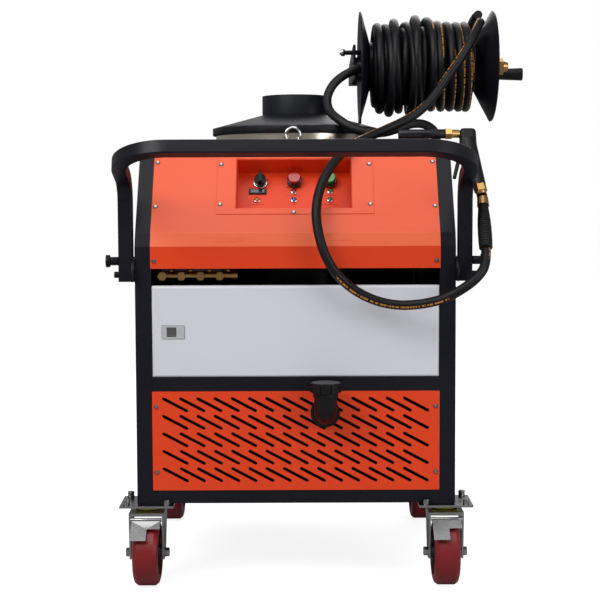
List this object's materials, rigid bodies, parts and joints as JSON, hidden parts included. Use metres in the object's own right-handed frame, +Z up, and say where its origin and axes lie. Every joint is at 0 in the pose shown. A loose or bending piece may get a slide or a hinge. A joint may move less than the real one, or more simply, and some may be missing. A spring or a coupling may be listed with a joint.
{
  "type": "steam cleaner",
  "caption": "wheeled commercial steam cleaner: black tube frame, sloped orange console, white cover, slotted lower panel, boiler flue, hose reel and spray gun",
  "frame": {"origin": "on the floor under the middle of the chassis frame", "axes": "+X to the operator's right facing the console, -Y the console side, +Z up"},
  "size_m": [0.8383, 0.79, 1.1195],
  "materials": {
    "frame_posts": "semi-gloss",
    "frame_rails": "semi-gloss",
    "push_handle": "semi-gloss",
    "reel_bracket": "semi-gloss",
    "reel_drum": "semi-gloss",
    "gun_holder": "semi-gloss",
    "top_deck": "semi-gloss",
    "base_tray": "semi-gloss",
    "body_panels": "semi-gloss",
    "console_panel": "semi-gloss",
    "control_plate": "semi-gloss",
    "control_recess": "semi-gloss",
    "grille_panel": "semi-gloss",
    "control_bezels": null,
    "selector_knob": null,
    "red_button": null,
    "green_button": null,
    "panel_indicators": null,
    "white_cover": "satin",
    "latch_body": null,
    "latch_paddle": null,
    "filler_neck": null,
    "filler_cap": null,
    "handle_mountings": "semi-gloss",
    "left_plunger": "semi-gloss",
    "right_plunger": "semi-gloss",
    "caster_plates": "bright zinc",
    "left_caster_fork": "bright zinc",
    "right_caster_fork": "bright zinc",
    "rear_forks": "bright zinc",
    "left_brake_pedal": "bright zinc",
    "right_brake_pedal": "bright zinc",
    "caster_seals": null,
    "front_left_wheel": null,
    "front_right_wheel": null,
    "rear_left_wheel": null,
    "rear_right_wheel": null,
    "boiler_jacket": "brushed",
    "boiler_hat": "satin",
    "lifting_eye": null,
    "heating_coil": null,
    "burner": null,
    "water_tank": null,
    "fuel_tank": null,
    "pump_unit": null,
    "control_box": null,
    "brass_fittings": null,
    "panel_screws": null,
    "reel_crank": null,
    "crank_grip": null,
    "reel_brake_pin": null,
    "reel_inlet": null,
    "wound_hose": null,
    "main_hose": null,
    "feed_hose": null,
    "strain_relief": null,
    "gun_body": null,
    "gun_trigger": null,
    "gun_lance": null,
    "gun_swivel": null
  },
  "bodies": {
    "chassis": {"frame_posts": "frame_posts", "frame_rails": "frame_rails", "reel_bracket": "reel_bracket", "gun_holder": "gun_holder", "top_deck": "top_deck", "base_tray": "base_tray", "body_panels": "body_panels", "console_panel": "console_panel", "control_plate": "control_plate", "control_recess": "control_recess", "grille_panel": "grille_panel", "control_bezels": "control_bezels", "panel_indicators": "panel_indicators", "white_cover": "white_cover", "latch_body": "latch_body", "filler_neck": "filler_neck", "handle_mountings": "handle_mountings", "caster_plates": "caster_plates", "rear_forks": "rear_forks", "caster_seals": "caster_seals", "boiler_jacket": "boiler_jacket", "boiler_hat": "boiler_hat", "lifting_eye": "lifting_eye", "heating_coil": "heating_coil", "burner": "burner", "water_tank": "water_tank", "fuel_tank": "fuel_tank", "pump_unit": "pump_unit", "control_box": "control_box", "brass_fittings": "brass_fittings", "panel_screws": "panel_screws", "reel_inlet": "reel_inlet", "main_hose": "main_hose", "feed_hose": "feed_hose", "strain_relief": "strain_relief", "gun_body": "gun_body", "gun_lance": "gun_lance", "gun_swivel": "gun_swivel"},
    "handle": {"push_handle": "push_handle"},
    "left_lock": {"left_plunger": "left_plunger"},
    "right_lock": {"right_plunger": "right_plunger"},
    "left_swivel_fork": {"left_caster_fork": "left_caster_fork"},
    "right_swivel_fork": {"right_caster_fork": "right_caster_fork"},
    "left_brake": {"left_brake_pedal": "left_brake_pedal"},
    "right_brake": {"right_brake_pedal": "right_brake_pedal"},
    "wheel_front_left": {"front_left_wheel": "front_left_wheel"},
    "wheel_front_right": {"front_right_wheel": "front_right_wheel"},
    "wheel_rear_left": {"rear_left_wheel": "rear_left_wheel"},
    "wheel_rear_right": {"rear_right_wheel": "rear_right_wheel"},
    "reel": {"reel_drum": "reel_drum", "reel_crank": "reel_crank", "wound_hose": "wound_hose"},
    "grip": {"crank_grip": "crank_grip"},
    "brake_pin": {"reel_brake_pin": "reel_brake_pin"},
    "trigger": {"gun_trigger": "gun_trigger"},
    "selector": {"selector_knob": "selector_knob"},
    "stop_button": {"red_button": "red_button"},
    "start_button": {"green_button": "green_button"},
    "tank_cap": {"filler_cap": "filler_cap"},
    "latch": {"latch_paddle": "latch_paddle"}
  },
  "joints": [
    {"name": "handle_fold", "type": "hinge", "parent": "chassis", "child": "handle", "pos_m": [0, -0.285, 0.5908], "axis": [1, 0, 0], "range_deg": [0, 55]},
    {"name": "left_lock_pull", "type": "slide", "parent": "handle", "child": "left_lock", "axis": [-1, 0, 0], "range_m": [0, 0.008], "stiffness_N_per_m": 400, "springref_m": -0.004},
    {"name": "right_lock_pull", "type": "slide", "parent": "handle", "child": "right_lock", "axis": [1, 0, 0], "range_m": [0, 0.008], "stiffness_N_per_m": 400, "springref_m": -0.004},
    {"name": "left_swivel", "type": "hinge", "parent": "chassis", "child": "left_swivel_fork", "pos_m": [-0.283, -0.269, 0.147], "axis": [0, 0, 1], "continuous": true},
    {"name": "front_left_roll", "type": "hinge", "parent": "left_swivel_fork", "child": "wheel_front_left", "pos_m": [-0.283, -0.294, 0.0625], "axis": [1, 0, 0], "continuous": true},
    {"name": "rear_left_roll", "type": "hinge", "parent": "chassis", "child": "wheel_rear_left", "pos_m": [-0.283, 0.23, 0.0625], "axis": [1, 0, 0], "continuous": true},
    {"name": "left_brake_press", "type": "hinge", "parent": "left_swivel_fork", "child": "left_brake", "pos_m": [-0.283, -0.32, 0.1305], "axis": [1, 0, 0], "range_deg": [0, 5]},
    {"name": "right_swivel", "type": "hinge", "parent": "chassis", "child": "right_swivel_fork", "pos_m": [0.283, -0.269, 0.147], "axis": [0, 0, 1], "continuous": true},
    {"name": "front_right_roll", "type": "hinge", "parent": "right_swivel_fork", "child": "wheel_front_right", "pos_m": [0.283, -0.294, 0.0625], "axis": [1, 0, 0], "continuous": true},
    {"name": "rear_right_roll", "type": "hinge", "parent": "chassis", "child": "wheel_rear_right", "pos_m": [0.283, 0.23, 0.0625], "axis": [1, 0, 0], "continuous": true},
    {"name": "right_brake_press", "type": "hinge", "parent": "right_swivel_fork", "child": "right_brake", "pos_m": [0.283, -0.32, 0.1305], "axis": [1, 0, 0], "range_deg": [0, 5]},
    {"name": "reel_spin", "type": "hinge", "parent": "chassis", "child": "reel", "pos_m": [0.273, 0.04, 1.005], "axis": [1, 0, 0], "continuous": true},
    {"name": "crank_grip_spin", "type": "hinge", "parent": "reel", "child": "grip", "pos_m": [0.457, 0.088, 0.993], "axis": [1, 0, 0], "continuous": true},
    {"name": "brake_pin_slide", "type": "slide", "parent": "chassis", "child": "brake_pin", "axis": [1, 0, 0], "range_m": [0, 0.008]},
    {"name": "trigger_pull", "type": "hinge", "parent": "chassis", "child": "trigger", "pos_m": [0.328, -0.19862, 0.82927], "axis": [0, -0.891, 0.454], "range_deg": [0, 8], "stiffness_Nm_per_rad": 0.3, "springref_deg": -17.19},
    {"name": "selector_turn", "type": "hinge", "parent": "chassis", "child": "selector", "pos_m": [-0.068, -0.17887, 0.76299], "axis": [0, -0.8377, 0.5461], "range_deg": [-45, 45]},
    {"name": "stop_press", "type": "slide", "parent": "chassis", "child": "stop_button", "axis": [0, 0.8377, -0.5461], "range_m": [0, 0.004], "stiffness_N_per_m": 800, "springref_m": -0.001},
    {"name": "start_press", "type": "slide", "parent": "chassis", "child": "start_button", "axis": [0, 0.8377, -0.5461], "range_m": [0, 0.004], "stiffness_N_per_m": 800, "springref_m": -0.001},
    {"name": "cap_turn", "type": "hinge", "parent": "chassis", "child": "tank_cap", "pos_m": [0.055, -0.352, 0.386], "axis": [0, 0, 1], "range_deg": [0, 90]},
    {"name": "latch_lift", "type": "hinge", "parent": "chassis", "child": "latch", "pos_m": [-0.2325, -0.3002, 0.4767], "axis": [1, 0, 0], "range_deg": [0, 50], "stiffness_Nm_per_rad": 0.01, "springref_deg": -11.46}
  ]
}
